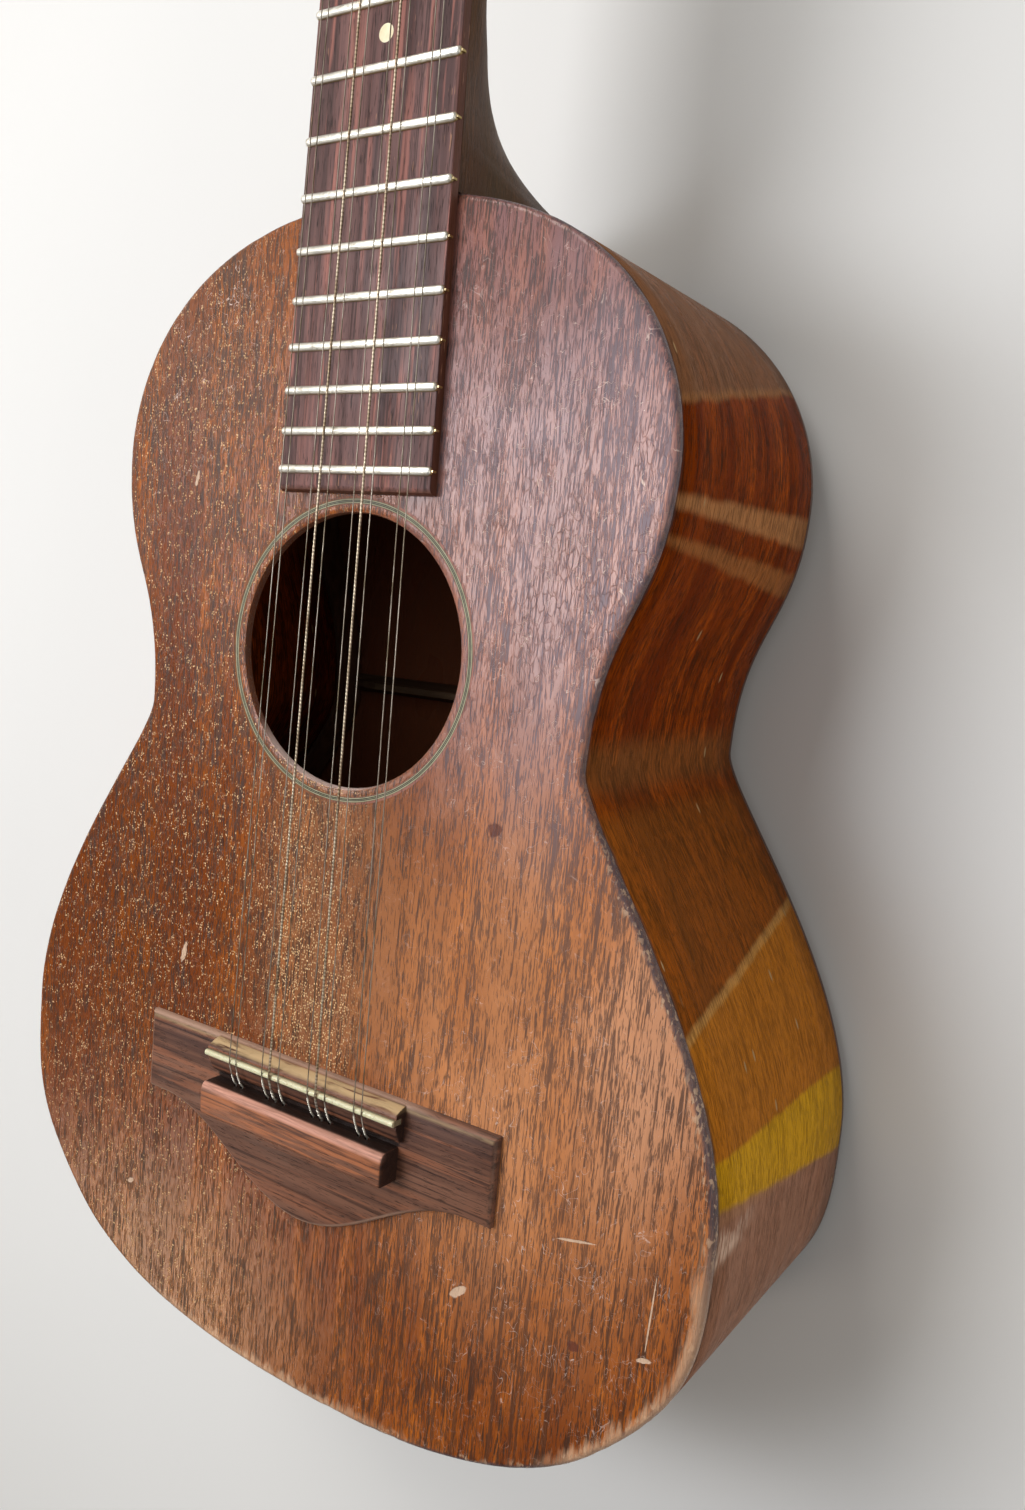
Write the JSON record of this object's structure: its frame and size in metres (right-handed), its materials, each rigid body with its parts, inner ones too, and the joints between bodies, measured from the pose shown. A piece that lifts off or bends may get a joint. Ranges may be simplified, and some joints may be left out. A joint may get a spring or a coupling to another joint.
{
  "type": "tiple",
  "caption": "Small steel-strung mahogany tiple with courses of two, three, three and two strings, a soundhole, a tie-block bridge and geared tuners that turn.",
  "frame": {"origin": "under the middle of the instrument's bounding box, at the level of the arched back's lowest point", "axes": "+Z out of the soundboard, +Y along the neck to the head, +X to the treble side"},
  "size_m": [0.2332, 0.6648, 0.1097],
  "materials": {
    "mahogany": "old gloss varnish, worn",
    "rosewood": "oiled, satin",
    "spruce": "bare",
    "ring_lines": "varnished with the top",
    "bone": "bone, polished and yellowed",
    "ivory_plastic": "satin",
    "string_steel": "plain drawn wire",
    "wound_bronze": "bronze wrap over steel",
    "nickel": "dull nickel plate"
  },
  "bodies": {
    "tiple": {"soundboard": "mahogany", "rosette": "ring_lines", "back": "mahogany", "side_bass": "mahogany", "side_treble": "mahogany", "neck_block": "mahogany", "tail_block": "mahogany", "lining_top_bass": "mahogany", "lining_back_bass": "mahogany", "lining_top_treble": "mahogany", "lining_back_treble": "mahogany", "top_brace_upper": "spruce", "top_brace_lower": "spruce", "back_brace_upper": "spruce", "back_brace_middle": "spruce", "back_brace_lower": "spruce", "bridge_plate": "spruce", "neck": "mahogany", "fretboard": "rosewood", "dot_5": "ivory_plastic", "dot_7": "ivory_plastic", "dot_9": "ivory_plastic", "head_veneer": "rosewood", "nut": "bone", "bridge": "rosewood", "saddle": "bone", "string_1": "string_steel", "string_2": "string_steel", "string_3": "string_steel", "string_4": "wound_bronze", "string_5": "string_steel", "string_6": "string_steel", "string_7": "wound_bronze", "string_8": "string_steel", "string_9": "string_steel", "string_10": "string_steel", "tuner_plate_bass": "nickel", "tuner_plate_treble": "nickel"},
    "worm_1": {"worm_1": "nickel"},
    "post_1": {"post_1": "nickel"},
    "worm_2": {"worm_2": "nickel"},
    "post_2": {"post_2": "nickel"},
    "worm_3": {"worm_3": "nickel"},
    "post_3": {"post_3": "nickel"},
    "worm_4": {"worm_4": "nickel"},
    "post_4": {"post_4": "nickel"},
    "worm_5": {"worm_5": "nickel"},
    "post_5": {"post_5": "nickel"},
    "worm_6": {"worm_6": "nickel"},
    "post_6": {"post_6": "nickel"},
    "worm_7": {"worm_7": "nickel"},
    "post_7": {"post_7": "nickel"},
    "worm_8": {"worm_8": "nickel"},
    "post_8": {"post_8": "nickel"},
    "worm_9": {"worm_9": "nickel"},
    "post_9": {"post_9": "nickel"},
    "worm_10": {"worm_10": "nickel"},
    "post_10": {"post_10": "nickel"}
  },
  "joints": [
    {"name": "worm_1_turn", "type": "hinge", "parent": "tiple", "child": "worm_1", "pos_m": [-0.019, 0.21124, 0.0775], "axis": [1, 0, 0], "continuous": true},
    {"name": "post_1_turn", "type": "hinge", "parent": "tiple", "child": "post_1", "pos_m": [-0.019, 0.22292, 0.09386], "axis": [0, 0.225, 0.9744], "continuous": true},
    {"name": "worm_2_turn", "type": "hinge", "parent": "tiple", "child": "worm_2", "pos_m": [-0.019, 0.23414, 0.07221], "axis": [1, 0, 0], "continuous": true},
    {"name": "post_2_turn", "type": "hinge", "parent": "tiple", "child": "post_2", "pos_m": [-0.019, 0.24582, 0.08857], "axis": [0, 0.225, 0.9744], "continuous": true},
    {"name": "worm_3_turn", "type": "hinge", "parent": "tiple", "child": "worm_3", "pos_m": [-0.019, 0.25704, 0.06692], "axis": [1, 0, 0], "continuous": true},
    {"name": "post_3_turn", "type": "hinge", "parent": "tiple", "child": "post_3", "pos_m": [-0.019, 0.26871, 0.08328], "axis": [0, 0.225, 0.9744], "continuous": true},
    {"name": "worm_4_turn", "type": "hinge", "parent": "tiple", "child": "worm_4", "pos_m": [-0.019, 0.27993, 0.06164], "axis": [1, 0, 0], "continuous": true},
    {"name": "post_4_turn", "type": "hinge", "parent": "tiple", "child": "post_4", "pos_m": [-0.019, 0.29161, 0.078], "axis": [0, 0.225, 0.9744], "continuous": true},
    {"name": "worm_5_turn", "type": "hinge", "parent": "tiple", "child": "worm_5", "pos_m": [-0.019, 0.30283, 0.05635], "axis": [1, 0, 0], "continuous": true},
    {"name": "post_5_turn", "type": "hinge", "parent": "tiple", "child": "post_5", "pos_m": [-0.019, 0.31451, 0.07271], "axis": [0, 0.225, 0.9744], "continuous": true},
    {"name": "worm_6_turn", "type": "hinge", "parent": "tiple", "child": "worm_6", "pos_m": [0.019, 0.30283, 0.05635], "axis": [1, 0, 0], "continuous": true},
    {"name": "post_6_turn", "type": "hinge", "parent": "tiple", "child": "post_6", "pos_m": [0.019, 0.31451, 0.07271], "axis": [0, 0.225, 0.9744], "continuous": true},
    {"name": "worm_7_turn", "type": "hinge", "parent": "tiple", "child": "worm_7", "pos_m": [0.019, 0.27993, 0.06164], "axis": [1, 0, 0], "continuous": true},
    {"name": "post_7_turn", "type": "hinge", "parent": "tiple", "child": "post_7", "pos_m": [0.019, 0.29161, 0.078], "axis": [0, 0.225, 0.9744], "continuous": true},
    {"name": "worm_8_turn", "type": "hinge", "parent": "tiple", "child": "worm_8", "pos_m": [0.019, 0.25704, 0.06692], "axis": [1, 0, 0], "continuous": true},
    {"name": "post_8_turn", "type": "hinge", "parent": "tiple", "child": "post_8", "pos_m": [0.019, 0.26871, 0.08328], "axis": [0, 0.225, 0.9744], "continuous": true},
    {"name": "worm_9_turn", "type": "hinge", "parent": "tiple", "child": "worm_9", "pos_m": [0.019, 0.23414, 0.07221], "axis": [1, 0, 0], "continuous": true},
    {"name": "post_9_turn", "type": "hinge", "parent": "tiple", "child": "post_9", "pos_m": [0.019, 0.24582, 0.08857], "axis": [0, 0.225, 0.9744], "continuous": true},
    {"name": "worm_10_turn", "type": "hinge", "parent": "tiple", "child": "worm_10", "pos_m": [0.019, 0.21124, 0.0775], "axis": [1, 0, 0], "continuous": true},
    {"name": "post_10_turn", "type": "hinge", "parent": "tiple", "child": "post_10", "pos_m": [0.019, 0.22292, 0.09386], "axis": [0, 0.225, 0.9744], "continuous": true}
  ],
  "couplings": [
    {"joint": "post_1_turn", "follows": "worm_1_turn", "ratio": -0.071429},
    {"joint": "post_2_turn", "follows": "worm_2_turn", "ratio": -0.071429},
    {"joint": "post_3_turn", "follows": "worm_3_turn", "ratio": -0.071429},
    {"joint": "post_4_turn", "follows": "worm_4_turn", "ratio": -0.071429},
    {"joint": "post_5_turn", "follows": "worm_5_turn", "ratio": -0.071429},
    {"joint": "post_6_turn", "follows": "worm_6_turn", "ratio": -0.071429},
    {"joint": "post_7_turn", "follows": "worm_7_turn", "ratio": -0.071429},
    {"joint": "post_8_turn", "follows": "worm_8_turn", "ratio": -0.071429},
    {"joint": "post_9_turn", "follows": "worm_9_turn", "ratio": -0.071429},
    {"joint": "post_10_turn", "follows": "worm_10_turn", "ratio": -0.071429}
  ]
}
